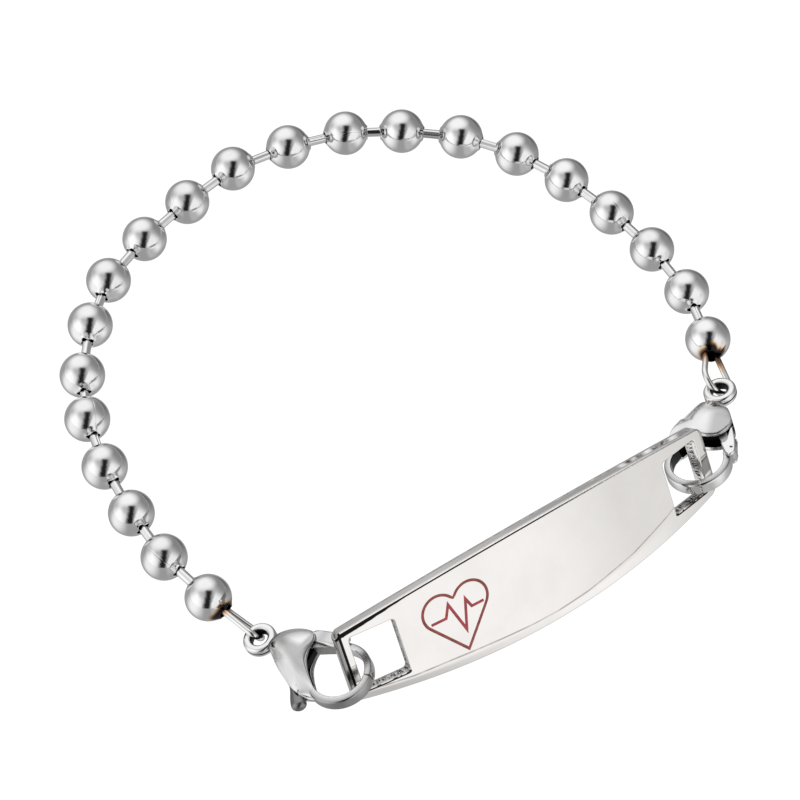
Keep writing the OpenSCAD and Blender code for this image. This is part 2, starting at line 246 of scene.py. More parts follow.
class Form:
    """Grids of one piece, in millimetres. Each point carries marks that its finish reads: cast (rough as cast),
    shade (painted shade, evenly darker, and painted light where negative), painted black (shade painted in hollows
    and slots, and dark reflection lines painted on edges), burn (a weld's tint) and crease (distance from a line)."""

    MARKS = ("cast", "shade", "soot", "burn", "crease")

    def __init__(self):
        self.points, self.faces, self.wrap, self.total = [], [], [], 0
        self.marks = {name: [] for name in self.MARKS}

    def grid(self, points, wrap_rows=False, wrap_cols=False, *, wrap, keep=None, **marks):
        """Adds a grid that may close on itself. wrap is its own flat map, and keep says which squares stay."""
        rows, cols = points.shape[:2]
        faces = squares(rows, cols, wrap_rows, wrap_cols)
        if keep is not None:
            faces = faces[keep.reshape(-1)]
        self.points.append(points.reshape(-1, 3))
        self.faces.append(faces + self.total)
        for name in self.MARKS:
            self.marks[name].append(np.broadcast_to(marks.get(name, 0.0), (rows, cols)).reshape(-1))
        self.wrap.append(np.stack([np.broadcast_to(w, (rows, cols)) for w in wrap], -1).reshape(-1, 2))
        self.total += rows * cols
        return self

    def piece(self, name, place, finish, body, slot, replaces=(), sharp=50):
        """The finished object. place turns local points into the bracelet's frame."""
        points = place(np.concatenate(self.points)) * MM
        faces = np.concatenate(self.faces)
        mesh = bpy.data.meshes.new(name)
        mesh.from_pydata(points, [], faces)
        for title, values in self.marks.items():
            layer = mesh.attributes.new(title, "FLOAT", "POINT")
            layer.data.foreach_set("value", np.concatenate(values).astype(np.float32))
        uv = mesh.uv_layers.new(name="wrap")
        uv.data.foreach_set("uv", np.concatenate(self.wrap)[faces.ravel()].astype(np.float32).ravel())
        work = bmesh.new()
        work.from_mesh(mesh)
        bmesh.ops.remove_doubles(work, verts=work.verts, dist=1.5e-6)
        bmesh.ops.dissolve_degenerate(work, edges=work.edges, dist=1e-7)
        bmesh.ops.recalc_face_normals(work, faces=work.faces)
        work.to_mesh(mesh)
        work.free()
        mesh.shade_smooth()
        mesh.set_sharp_from_angle(angle=np.radians(sharp))
        mesh.materials.append(finish)
        made = new_object(name, mesh)
        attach(made, body)
        if replaces:
            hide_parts(*replaces)
        return made


def turned(x=0.0, y=0.0, z=0.0):
    """Turn about X, then Y, then Z, in degrees, as one 3 by 3 matrix."""
    a, b, c = np.radians([x, y, z])
    about_x = np.array([[1, 0, 0], [0, np.cos(a), -np.sin(a)], [0, np.sin(a), np.cos(a)]])
    about_y = np.array([[np.cos(b), 0, np.sin(b)], [0, 1, 0], [-np.sin(b), 0, np.cos(b)]])
    about_z = np.array([[np.cos(c), -np.sin(c), 0], [np.sin(c), np.cos(c), 0], [0, 0, 1]])
    return about_z @ about_y @ about_x


def placed(at, matrix):
    """A function that turns local points and moves them to a place."""
    return lambda points: points @ matrix.T + np.array(at)


as_it_is = placed((0.0, 0.0, 0.0), np.eye(3))


def around(count):
    """Angles evenly round a circle, without the first one again at the end."""
    return np.linspace(0, 2 * np.pi, count, endpoint=False)


def smooth(x, low, high):
    """0 below low, 1 above high, and 3 t squared minus 2 t cubed between."""
    t = np.clip((x - low) / (high - low), 0, 1)
    return t * t * (3 - 2 * t)


def round_off(e, r):
    """How far a rounded edge of radius r has dropped at distance e from the edge: a quarter circle."""
    return r - np.sqrt(np.maximum(r * r - np.maximum(r - e, 0) ** 2, 0))


print("form helpers ready")

# %% [markdown]
# ## Steel finishes
# The plate is mirror polished, with faint smudges and hairlines. The balls are pressed from sheet and barrelled,
# so they are a little softer. The links are drawn, with lines along them. The clasps are cast and satin on the
# dome, and rough where no polishing wheel reaches. One noise varies the tone, another the roughness.

# %% Steel
def steel(name, colour, roughness, spread, wave, grain, lines=0.0, creased=False):
    """Steel whose roughness varies by spread, with a long wave and a fine grain in its bump, in metres."""
    f = Finish(bpy.data.materials.new(name))
    spot = f.node("TexCoord", output=3)
    uv = f.node("UVMap", uv_map="wrap")
    cast, soot, burn, shade = [f.mark(name) for name in ("cast", "soot", "burn", "shade")]
    smudge = f.noise(spot, 260.0, 4.0, 0.55)
    fine = f.noise(spot, 2600.0, 3.0, 0.6)
    pits = f.noise(spot, 6500.0, 4.0, 0.65)
    stretched = f.node("VectorMath", {0: uv, 1: (0.25, 9.0, 1.0)}, operation="MULTIPLY")
    drawn = f.noise(stretched, 1.0, 3.0, 0.6)
    dirt = (0.05 if creased else 0.10) * smudge.between(0.35, 0.8)
    # Painted shade: the shade mark darkens the clean colour evenly, and paints light where it is negative
    clean = f.mix((1.0 - dirt) * (1.0 - shade), (0.0, 0.0, 0.0), colour)
    rough_tone = f.mix(pits.between(0.38, 0.62), (0.10, 0.10, 0.10), (0.62, 0.61, 0.60))
    worn = f.mix(cast, clean, rough_tone)
    tint = f.node("ValToRGB", {0: burn}, stops=[(0.0, colour), (0.30, (0.74, 0.58, 0.42)),
                                               (0.55, (0.30, 0.17, 0.10)), (0.80, (0.02, 0.018, 0.018))])
    base = f.mix(burn.between(0.02, 0.2), worn, tint)
    # Painted black: shade painted into hollows, and dark reflection lines painted on edges. Half of it is patchy: the
    # pits decide, and full black covers everything
    patchy = (soot + (soot * (1.0 - soot)) * (3.4 * pits - 1.7)).between(0.15, 0.85)
    base = f.mix(patchy, base, (0.012, 0.012, 0.012))
    rough = roughness + spread * (smudge - 0.5) + 0.30 * cast + 0.25 * soot + 0.15 * shade
    height = wave * smudge + grain * fine + lines * drawn + (3e-5 * cast) * pits
    if creased:
        # Painted shade: a dark line painted along the lower shoulder's crease, broken in places, over a shallow groove
        # in the bump
        broken = 0.55 + 0.45 * f.noise(spot, 420.0, 3.0, 0.6).between(0.35, 0.6)
        line = (1.0 - abs(f.mark("crease")).between(0.03, 0.13)) * broken
        base = f.mix(0.62 * line, base, (0.16, 0.14, 0.13))
        # Saw marks on the windows' walls: slanting dark strokes between bright ridges
        slant = f.node("Mapping", {0: uv, 2: (0.0, 0.0, 0.5), 3: (3.4, 0.7, 1.0)})
        strokes = f.noise(slant, 1.6, 2.0, 0.6).between(0.45, 0.53)
        sawn = f.mix(strokes, (0.015, 0.013, 0.012), (0.80, 0.79, 0.78))
        base = f.mix(cast.between(0.6, 0.85) * 0.9, base, sawn)
        height = height - 12e-6 * line
    f.set(Base_Color=base, Metallic=1.0, Roughness=rough, Normal=f.bump(height))
    return f.out()


polished = steel("polished_steel_plate", (0.875, 0.85, 0.83), 0.05, 0.04, 3e-6, 1e-7, creased=True)
ball_steel = steel("pressed_ball_steel", (0.80, 0.80, 0.80), 0.10, 0.07, 3e-6, 4e-7)
drawn_steel = steel("drawn_link_steel", (0.82, 0.82, 0.82), 0.12, 0.08, 2e-6, 4e-7, 6e-6)
satin = steel("satin_clasp_steel", (0.80, 0.80, 0.80), 0.15, 0.08, 5e-6, 6e-7)
wire_steel = steel("wire_steel", (0.80, 0.80, 0.79), 0.10, 0.08, 4e-6, 6e-7, 2e-6)
print("steels:", polished.name, ball_steel.name, drawn_steel.name, satin.name, wire_steel.name)

# %% [markdown]
# ## The ball chain
# Each ball is a hollow sphere of 4.8 mm that a link enters at two holes. The sheet turns outward into a small
# uneven collar round each hole, and its two edges meet in a fine seam from hole to hole. A ball could be a
# primitive sphere, but a profile turned round an axis gives the collar and the seam. The chain bends at each
# ball, so the profile's two poles aren't opposite: each point is turned by the cosine of its angle from the pole.

# %% Chain numbers
LINKS = np.array([
    (6.80, 0), (6.55, 10), (6.65, 6), (6.50, 8), (5.85, 11), (6.75, 12), (6.35, 11), (6.80, 17), (6.85, 8),
    (6.80, 5), (6.75, 17), (6.60, 10), (6.20, 15), (6.55, 10), (6.60, 15), (6.55, 13), (6.65, 9), (6.65, 7),
    (6.80, 8), (6.75, 14)])
BALL_R, INNER_R = 2.4, 2.05
heading = np.radians(97 - np.cumsum(LINKS[:, 1]))
steps = LINKS[:, :1] * np.stack([np.cos(heading), np.sin(heading), 0 * heading], -1)
BALLS = np.array([-31.7, -13.14, BALL_R]) + np.r_[np.zeros((1, 3)), np.cumsum(steps, 0)]
print("balls:", len(BALLS), "last at", BALLS[-1].round(2))


# %% A ball
def unit(v):
    return v / np.linalg.norm(v)


def chain_ball(i, ahead, back, wide=1.0, burnt=0.0):
    """Profile: inner shell, collar, sphere, collar, closed on itself. The collar is a ring where the radius grows
    by 0.1 mm. A point at polar angle t and azimuth p lies at radius r(t) (sin t cos p, sin t sin p, cos t), and
    is then turned by bend times cos t, so that both poles meet their links. wide widens the hole at the back, and
    burnt lets a weld's tint spread from it in tongues."""
    lip_t = np.radians([18.5, 17.0, 16.0, 15.5, 15.8, 16.6, 18.0, 19.8, 22.2, 26.0, 31.0])
    lip_r = np.array([2.05, 2.16, 2.30, 2.41, 2.470, 2.500, 2.495, 2.465, 2.435, 2.410, 2.40])
    mid = np.linspace(np.radians(31.0), np.pi - np.radians(31.0 * wide), 46)[1:-1]
    inner = np.linspace(np.pi - np.radians(18.5 * wide), np.radians(18.5), 14)[1:-1]
    t = np.r_[lip_t, mid, np.pi - wide * lip_t[::-1], inner]
    r = np.r_[lip_r, np.full(len(mid), BALL_R), lip_r[::-1], np.full(len(inner), INNER_R)]
    lip = np.r_[np.ones(5), np.linspace(1, 0, 6), 0 * mid, np.linspace(0, 1, 6), np.ones(5), 0 * inner]
    even = around(112)
    seam, seed = np.radians((i * 137.5 + 100) % 360), 1.7 * i
    p = even + seam - 0.74 * np.sin(even)
    uneven = 0.022 * np.sin(3 * p + seed) + 0.016 * np.sin(5 * p + 2.1 * seed) + 0.010 * np.sin(9 * p + 3.7 * seed)
    groove = 0.013 * np.exp(-((np.angle(np.exp(1j * (p - seam))) / 0.018) ** 2))
    outer = np.r_[np.ones(len(t) - len(inner)), 0 * inner]
    radius = r[:, None] + lip[:, None] * uneven[None] - outer[:, None] * groove[None]
    lean = t[:, None] + 0.05 * lip[:, None] * np.sin(4 * p + seed)[None] * np.sign(np.pi / 2 - t)[:, None]
    local = radius[..., None] * np.stack([np.sin(lean) * np.cos(p), np.sin(lean) * np.sin(p),
                                          np.cos(lean) + 0 * p], -1)
    axis = unit(ahead - back)
    side = unit(np.cross(axis, [0.0, 0.0, 1.0]))
    world = local @ np.stack([side, np.cross(axis, side), axis])
    hinge = np.cross(axis, ahead)
    bend = np.arcsin(np.clip(np.linalg.norm(hinge), 0, 1))
    k = hinge / max(np.linalg.norm(hinge), 1e-9)
    a = (bend * np.cos(t))[:, None, None]
    world = (world * np.cos(a) + np.cross(k, world) * np.sin(a)
             + k * (world @ k)[..., None] * (1 - np.cos(a)))
    # Painted shade: black on the walls of both holes and on the shell's inside
    soot = np.r_[np.ones(4), np.zeros(len(t) - len(inner) - 8), np.ones(4 + len(inner))]
    tongue = 0.10 * np.sin(3 * even + 1.0) + 0.05 * np.sin(7 * even + i)
    tint = burnt * smooth(t[:, None] + tongue, np.pi - 0.86, np.pi - 0.40)
    return Form().grid(world + BALLS[i], True, True, soot=soot[:, None], burn=tint,
                       wrap=(t[:, None] * BALL_R, p[None] * BALL_R))


for i in range(1, 20):
    chain_ball(i, unit(BALLS[i + 1] - BALLS[i]), unit(BALLS[i - 1] - BALLS[i])).piece(
        f"ball_{i}", as_it_is, ball_steel, "bracelet", "polished_steel", [f"bead_{i}"])
print("19 balls, each replaces a bead of the frame")

# %% [markdown]
# ## The links
# A link is a short drawn bar with a flat head inside each ball. Its visible part shows a few lines along it,
# because it is rolled from sheet: one seam and small flats. The profile (distance along, radius) is turned round
# the line between two balls, and the radius takes the seam away.

# %% Links
def link_form(start, end, seed):
    """Radius along the bar: head, neck, bar, neck, head. The bar's radius is 0.5 mm, less up to 0.024 for six
    shallow flats and less 0.09 in a narrow seam."""
    length = np.linalg.norm(end - start)
    z = np.array([1.10, 1.10, 1.13, 1.20, 1.52, 1.58, 1.60, 1.60, 1.66])
    r = np.array([0.0, 0.86, 0.93, 0.95, 0.95, 0.92, 0.86, 0.55, 0.50])
    bar = np.linspace(1.66, length - 1.66, 10)[1:-1]
    z = np.r_[z, bar, length - z[::-1]]
    r = np.r_[r, np.full(len(bar), 0.5), r[::-1]]
    p = around(48)
    on_bar = ((z > 1.63) & (z < length - 1.63)).astype(float)
    seam = 0.09 * np.exp(-((np.angle(np.exp(1j * (p - seed))) / 0.14) ** 2))
    flats = 0.012 * (1 + np.cos(6 * p))
    radius = r[:, None] - on_bar[:, None] * (seam + flats)[None]
    axis = unit(end - start)
    side = unit(np.cross(axis, [0.0, 0.0, 1.0]))
    rise = np.cross(side, axis)
    ring = np.cos(p)[:, None] * side + np.sin(p)[:, None] * rise
    points = start + z[:, None, None] * axis + radius[..., None] * ring[None]
    return Form().grid(points, False, True, wrap=(z[:, None], (p * 0.5)[None]))


for i in range(20):
    link_form(BALLS[i], BALLS[i + 1], 2.4 * i).piece(
        f"link_bar_{i + 1}", as_it_is, drawn_steel, "bracelet", "plain_steel", [f"link_{i + 1}"])
print("20 links")

# %% [markdown]
# ## The plate
# The plate is cut from sheet, bent to a radius of 90 mm and polished. Its lower front edge rolls away below a thin
# line that climbs toward the right end, its upper edge is rounded, and each end has a window with small corners.
# One grid makes its front and its back, with rows and columns on the windows' edges, and the squares inside the
# windows are left out. Round corners come from moving the points of each square ring on to an arc. The grid ends
# 0.5 mm beyond the solid at each end, so that the end bars are as wide as in the photograph.

# %% Plate numbers
PLATE_AT, PLATE_TURN = (-3.76, -32.4, 6.14), turned(0, 1.3, 0) @ turned(-30.6, 0, 0)
HALF_L, SOLID_L, MID_H, END_H, THICK, BEND_R = 23.2, 22.7, 5.75, 3.9, 1.6, 90.0
WIN_AT, WIN_A, WIN_B, WIN_R, CORNER_R = 19.35, 2.5, 3.12, 0.5, 0.8
END_X = BEND_R * np.sin(SOLID_L / BEND_R)
BELLY_R = (END_X ** 2 + (MID_H - END_H) ** 2) / (2 * (MID_H - END_H))
LINE_S = np.array([-22.7, -16.7, -12.5, -6.8, -3.2, 0.0, 3.8, 10.3, 15.7, 16.9, 22.7])
LINE_V = np.array([-3.0, -3.72, -3.95, -4.40, -4.65, -4.72, -4.55, -3.70, -2.40, -2.00, -1.60])
place_plate = placed(PLATE_AT, PLATE_TURN)


def half_width(s):
    """Half of the plate's width: a circle's arc, high in the middle."""
    return MID_H - BELLY_R + np.sqrt(BELLY_R ** 2 - (BEND_R * np.sin(s / BEND_R)) ** 2)


def bent(s, v, depth):
    """A point at s along the face, v across it and depth below it, on a cylinder of radius 90 mm."""
    a = s / BEND_R
    return np.stack([(BEND_R - depth) * np.sin(a), BEND_R - (BEND_R - depth) * np.cos(a), v + 0 * s], -1)


NEAR = np.array([0.0, 0.02, 0.05, 0.09, 0.13, 0.18, 0.24, 0.32])


def lines_between(low, high, step, from_edge=False):
    """Places from low to high, evenly but for a cluster at the high end, and at the low end if it is an edge."""
    a = low + NEAR[1:] if from_edge else np.array([low])
    b = high - NEAR[:0:-1]
    return np.r_[a, np.linspace(a[-1], b[0], max(int((b[0] - a[-1]) / step), 1) + 1)[1:-1], b]


w0, w1 = WIN_AT - WIN_A, WIN_AT + WIN_A
bar_cols = w1 + np.array([0.0, 0.02, 0.05, 0.09, 0.14, 0.2, 0.28, 0.38, 0.48, 0.58, 0.68, 0.78, 0.88, 0.98, 1.08,
                          1.16, 1.24, 1.29, 1.32, 1.35])
right_cols = np.r_[lines_between(0.0, w0, 0.28), [w0], lines_between(w0, w1, 0.25, True), bar_cols]
COLS = np.unique(np.r_[-right_cols, right_cols].round(6))
strip = np.linspace(0, 1, 9)[1:-1]
# A row lies at A times the half width plus B, so that it follows the belly near the edge and the window inside
outer_A = np.r_[np.ones(8), 1 - strip, np.zeros(8)]
outer_B = np.r_[-NEAR, -NEAR[-1] * (1 - strip) + (WIN_B + NEAR[-1]) * strip, WIN_B + NEAR[::-1]]
inner_up, inner_low = lines_between(0.0, WIN_B, 0.32)[::-1], lines_between(0.0, WIN_B, 0.11)
ROW_A = np.r_[-outer_A, 0 * inner_low, 0 * inner_up[:-1], outer_A[::-1]]
ROW_B = np.r_[-outer_B, -inner_low[::-1], inner_up[:-1][::-1], outer_B[::-1]]
print("plate grid:", len(COLS), "columns", len(ROW_A), "rows")


# %% The plate's surface
def arc_ring(x, z, a, b, r):
    """Points of a square ring with half sides a and b: those within r of a corner move on to an arc."""
    px, pz = np.abs(x) - (a - r), np.abs(z) - (b - r)
    inside = (r > 1e-6) & (px > 0) & (pz > 0)
    safe = np.where(inside, r, 1.0)
    t = np.where(pz >= px, px / (2 * safe), 1 - pz / (2 * safe)) * np.pi / 2
    nx, nz = a - r + r * np.sin(t), b - r + r * np.cos(t)
    return np.where(inside, np.sign(x) * nx, x), np.where(inside, np.sign(z) * nz, z)


def plate_grid():
    """Places (s, v) with round corners, and the distances to each edge on which the rounding depends."""
    s = np.broadcast_to(COLS[:, None], (len(COLS), len(ROW_A))).copy()
    w = half_width(s)
    v = ROW_A[None] * w + ROW_B[None]
    e_up, e_low, e_end = w - v, w + v, HALF_L - np.abs(s)
    x = np.abs(s) - WIN_AT
    e_win = np.maximum(np.abs(x) - WIN_A, np.abs(v) - WIN_B)
    ring = np.clip(e_win, 0, None)
    wx, wz = arc_ring(x, v, WIN_A + ring, WIN_B + ring, WIN_R * np.clip(1 - ring / 0.6, 0, 1))
    near_window = (e_win >= -1e-9) & (e_win < 0.6)
    s2 = np.where(near_window, np.sign(s) * (wx + WIN_AT), s)
    v2 = np.where(near_window, wz, v)
    e_out = np.minimum(np.minimum(e_up, e_low), e_end)
    r_out = CORNER_R * np.clip(1 - e_out / 0.7, 0, 1)
    ox, oz = arc_ring(np.abs(s2), v2, HALF_L - e_out, w - e_out, r_out)
    corner = (r_out > 0) & (np.abs(s2) > HALF_L - 1.2)
    return np.where(corner, np.sign(s) * ox, s2), np.where(corner, oz, v2), (e_up, e_low, e_end, e_win, w)


def window_edge(e_win, r):
    return round_off(np.clip(e_win, 0, None), r) * (e_win > -1e-9)


def front_depth(s, v, e):
    """Depth of the front surface: rolled lower shoulder, rounded upper edge, ends and window edges."""
    e_up, e_low, e_end, e_win, w = e
    line = np.interp(s, LINE_S, LINE_V)
    q = line - v
    q = 0.5 * (q + np.sqrt(q * q + 0.0016))
    t = q / (line + w)
    shoulder = 0.17 * (0.5 * t + 0.5 * t * t)
    edge = np.maximum(np.maximum(round_off(e_up, 0.17), round_off(e_low, 0.14)), round_off(e_end, 0.18))
    return shoulder + np.maximum(edge, window_edge(e_win, 0.09))


def back_depth(e):
    e_up, e_low, e_end, e_win, _ = e
    edge = np.maximum(round_off(np.minimum(e_up, e_low), 0.2), round_off(e_end, 0.2))
    return THICK - np.maximum(edge, window_edge(e_win, 0.12))


S, V, EDGES = plate_grid()
FRONT, BACK = front_depth(S, V, EDGES), back_depth(EDGES)
mid_s = (COLS[1:] + COLS[:-1]) / 2
mid_v = (ROW_B[1:] + ROW_B[:-1]) / 2 + (ROW_A[1:] + ROW_A[:-1]) / 2 * END_H
solid = ~((np.abs(np.abs(mid_s) - WIN_AT) < WIN_A)[:, None] & (np.abs(mid_v) < WIN_B - 1e-6)[None])


# Painted black: a dark reflection line in the upper edge that widens at the left end, a dark band in that end
# that stands in for a bevel's reflection, and painted shade on the edge below each window
e_up, _, e_end, e_win, _ = EDGES
wide = 0.24 + 0.30 * smooth(-S, 14.0, 21.5)
upper = smooth(e_up, 0.03, 0.10) * (1 - smooth(e_up, wide - 0.07, wide)) * (1 - 0.6 * smooth(S, -4, 14))
band = smooth(e_end, 0.42, 0.48) * (1 - smooth(e_end, 0.70, 0.78)) * (S < 0) * (V > -3.4)
below_window = (V < -WIN_B + 0.2) * (np.abs(np.abs(S) - WIN_AT) < WIN_A + 0.1)
under = 0.9 * (e_win > -1e-9) * (1 - smooth(e_win, 0.08, 0.20)) * below_window
# Painted shade at both ends, darker at the left end: a bevel's darker reflection painted on the flat face
painted_end_shade = (1 - smooth(e_end, 0.38, 0.46)) * np.where(S < 0, 0.62, 0.3)
plate = Form()
plate.grid(bent(S, V, FRONT), wrap=(S, V), keep=solid, soot=np.max([upper, band, under], 0), shade=painted_end_shade,
           crease=np.clip(np.interp(S, LINE_S, LINE_V) - V, -1, 1))
plate.grid(bent(S, V, BACK), wrap=(S, V), keep=solid, cast=0.12, crease=1.0)


def loop(i0, i1, j0, j1):
    """Numbers of the points round a rectangle of the grid."""
    rows, cols = i1 - i0, j1 - j0
    return (np.r_[i0:i1, np.full(cols, i1), i1:i0:-1, np.full(cols, i0)],
            np.r_[np.full(rows, j0), j0:j1, np.full(rows, j1), j1:j0:-1])


def wall(i, j, rows, cast):
    """A straight wall from the front to the back, along a loop of points."""
    t = np.linspace(0, 1, rows)[:, None]
    depth = FRONT[i, j] * (1 - t) + BACK[i, j] * t
    plate.grid(bent(S[i, j] + 0 * depth, V[i, j] + 0 * depth, depth), False, True, cast=cast, crease=1.0,
               wrap=(S[i, j] + V[i, j] + 0 * depth, depth))


def index(values, x):
    return int(np.argmin(np.abs(values - x)))


rows_flat = ROW_B + ROW_A * 100
j_low, j_high = index(rows_flat, -WIN_B), index(rows_flat, WIN_B)
wall(*loop(0, len(COLS) - 1, 0, len(ROW_A) - 1), 5, 0.0)
for side in (-1, 1):
    ends = sorted((index(COLS, side * w0), index(COLS, side * w1)))
    wall(*loop(ends[0], ends[1], j_low, j_high), 7,
         np.array([0.0, 0.15, 0.75, 0.9, 0.9, 0.75, 0.4])[:, None])
plate_piece = plate.piece("plate", place_plate, polished, "bracelet", "polished_steel", ["id_plate"], 40)
print("plate faces:", len(plate_piece.data.polygons))

# %% [markdown]
# ## The emblem
# Red enamel lies in a groove of the plate: a heart's outline in brown red with a brighter pulse line inside. Each
# line is a strip with a rounded top that stands 0.03 mm proud. The heart's two edges have matching points, so a
# row of the strip is a mix of both, and its height is a half ellipse.

# %% Enamel
def enamel(name, deep, light):
    """Glossy enamel, darker where it pools, with tiny pinholes."""
    f = Finish(bpy.data.materials.new(name))
    spot = f.node("TexCoord", output=3)
    pool = f.noise(spot, 1500.0, 3.0, 0.6)
    pin = f.noise(spot, 9000.0, 2.0, 0.5)
    f.set(Base_Color=f.mix(pool.between(0.3, 0.7), deep, light), Metallic=0.0,
          Roughness=0.28 + 0.2 * pin, Coat_Weight=0.25, Coat_Roughness=0.12,
          Normal=f.bump(6e-6 * pool + 2e-6 * pin))
    return f.out()


EMBLEM_W, EMBLEM_LINE, EMBLEM_S, EMBLEM_V = 7.6, 0.34, -10.45, -0.1
LOBE_R = EMBLEM_W * 0.27
LOBE_X, LOBE_Y, FOOT = EMBLEM_W / 2 - LOBE_R, LOBE_R * 0.75, EMBLEM_W / 2


def heart_edge(grow):
    """Half of a heart: an arc round the lobe from the straight side to the notch, mirrored, with the foot."""
    d = np.hypot(LOBE_X, LOBE_Y + FOOT)
    foot_a = np.arctan2(LOBE_X, LOBE_Y + FOOT) + np.arcsin(LOBE_R / d)
    last = np.pi - np.arccos(LOBE_X / LOBE_R)
    a = np.linspace(-foot_a, last, 37)[:-1]
    r = LOBE_R + grow
    notch = LOBE_Y + LOBE_R * np.sin(last) + grow
    side = np.linspace(0, 1, 16)[:-1][:, None]
    foot = np.array([0.0, -FOOT - grow / np.sin(foot_a)])
    arc = np.stack([LOBE_X + r * np.cos(a), LOBE_Y + r * np.sin(a)], -1)
    half = np.r_[foot + side * (arc[0] - foot), arc]
    return np.r_[half, [[0.0, notch]], (half * [-1, 1])[:0:-1]]


def pulse_edge(side):
    """The pulse line's corners, each moved to one side along its mitre, with points added between."""
    k = np.array([[-6.3, 1.4], [-2.8, 1.4], [-1.5, 4.2], [0.8, -3], [2.5, 3.6], [3.4, 1.4], [6.3, 1.4]])
    k = k * EMBLEM_W / 16
    turn = np.arctan2(*np.diff(k, axis=0).T[::-1])
    before, after = np.r_[turn[:1], turn], np.r_[turn, turn[-1:]]
    mid = (before + after) / 2
    out = side * EMBLEM_LINE / 2 / np.cos((after - before) / 2)
    edge = k + out[:, None] * np.stack([-np.sin(mid), np.cos(mid)], -1)
    place = np.linspace(0, len(k) - 1, 61)
    return np.stack([np.interp(place, np.arange(len(k)), edge[:, n]) for n in (0, 1)], -1)


def strip_form(edge_a, edge_b, closed):
    """Rows across a line: 0 to 1 from edge to edge with a rounded top, and the flat underside back again."""
    u = np.linspace(0, 1, 9)
    rise = 0.045 * np.sqrt(np.clip(1 - (2 * u - 1) ** 2, 0, 1)) - 0.010
    across = np.r_[u, u[::-1]]
    depth = np.r_[-rise, np.full(9, 0.17)]
    if not closed:
        edge_a, edge_b = [np.r_[e[:1], e, e[-1:]] for e in (edge_a, edge_b)]
    flat = edge_a[None] * (1 - across)[:, None, None] + edge_b[None] * across[:, None, None]
    d = depth[:, None] + 0 * flat[..., 0]
    if not closed:
        flat[:, [0, -1]] = flat[:, [0, -1]].mean(0, keepdims=True)
        d[:, [0, -1]] = 0.08
    return Form().grid(bent(flat[..., 0] + EMBLEM_S, flat[..., 1] + EMBLEM_V, d), True, closed,
                       wrap=(flat[..., 0], flat[..., 1]))


dark_red = enamel("brown_red_enamel", (0.26, 0.035, 0.022), (0.48, 0.085, 0.055))
bright_red = enamel("bright_red_enamel", (0.42, 0.030, 0.040), (0.62, 0.060, 0.075))
strip_form(heart_edge(0.0), heart_edge(-EMBLEM_LINE), True).piece(
    "heart_line", place_plate, dark_red, "bracelet", "enamel_dark_red", ["emblem_heart"])
strip_form(pulse_edge(-1), pulse_edge(1), False).piece(
    "pulse_line", place_plate, bright_red, "bracelet", "enamel_bright_red", ["emblem_pulse"])
print("emblem ready")

# %% [markdown]
# ## The clasps
# A lobster clasp is cast in two domed shells with a slot between them. The eye is a thick ring at the narrow end,
# the hook grows out of the broad end, and a sprung lever with a thumb piece closes the ring. In the clasp's own
# frame the eye is at the origin and the ring's middle lies 10.2 mm along +Y. Domes and flat bars are lenses: an
# edge curve, rows that shrink it toward a centre, and rows back on the underside. The two castings were filed by
# hand, so their edge curves differ a little.

# %% Clasp outlines
RING_C, RING_R, RING_IN = np.array([0.0, 10.2]), 3.5, 2.75
RING_MID = (RING_R + RING_IN) / 2
PIVOT, DOME_C = np.array([-3.0, 8.3]), np.array([-0.2, 4.8])
TAIL = [(2.1, 8.4), (2.75, 9.4), (3.2, 9.75), (3.52, 9.3), (3.72, 8.5), (3.72, 7.6)]
SHELL_EDGE = {
    "left": np.array([(0.15, 6.55), (1.15, 7.35), *TAIL, (3.35, 6.4), (2.25, 4.2), (0.95, 2.2), (0.3, 1.3), (-0.5, 1.2),
                      (-1.4, 1.6), (-2.2, 2.4), (-2.75, 3.45), (-2.95, 4.5), (-2.75, 5.4), (-2.1, 6.0), (-1.0, 6.15)]),
    "right": np.array([(0.4, 7.15), (1.3, 7.55), *TAIL, (3.6, 5.9), (3.2, 4.4), (2.45, 3.0), (1.7, 1.9), (0.7, 1.5),
                       (-0.4, 1.8), (-1.15, 2.4), (-1.75, 3.1), (-2.3, 4.1), (-2.6, 5.1), (-2.45, 6.1), (-1.75, 6.9),
                       (-0.7, 7.15)])}
HORN_EDGE = {
    "left": np.array([(-2.5, 5.2), (-3.1, 5.7), (-3.5, 7.1), (-3.8, 8.4), (-3.85, 9.1), (-3.4, 9.55), (-2.75, 9.25),
                      (-2.2, 8.6), (-1.98, 7.8), (-1.95, 6.9), (-1.9, 5.7)]),
    "right": np.array([(-2.75, 5.7), (-3.2, 6.6), (-3.55, 7.5), (-3.82, 8.5), (-3.85, 9.2), (-3.5, 9.65),
                       (-3.05, 9.5), (-2.65, 8.95), (-2.2, 8.15), (-2.45, 7.95), (-2.75, 7.4), (-2.7, 6.5)])}
LOW_HORN = np.array([(*PIVOT, 0.52), (-2.55, 5.9, 0.45)])


def closed_curve(points, count):
    """A smooth closed curve through points: cubic pieces whose slope at a point is that of its neighbours' line."""
    place = np.arange(count) * len(points) / count
    i = np.floor(place).astype(int)
    t = (place - i)[:, None]
    a, b, c, d = [points[(i + k) % len(points)] for k in (-1, 0, 1, 2)]
    return 0.5 * (2 * b + (c - a) * t + (2 * a - 5 * b + 4 * c - d) * t ** 2 + (3 * b - a - 3 * c + d) * t ** 3)


def hull_edge(circles, centre, count=96):
    """The edge of the hull of some circles: in direction p, the least of (c . n + r) / (p . n) over all n."""
    ray, normal = [np.stack([np.cos(a), np.sin(a)], -1) for a in (around(count), around(720))]
    support = ((circles[:, :2] - centre) @ normal.T + circles[:, 2:3]).max(0)
    facing = ray @ normal.T
    reach = np.where(facing > 1e-3, support / np.maximum(facing, 1e-3), 1e9).min(1)
    return centre + reach[:, None] * ray


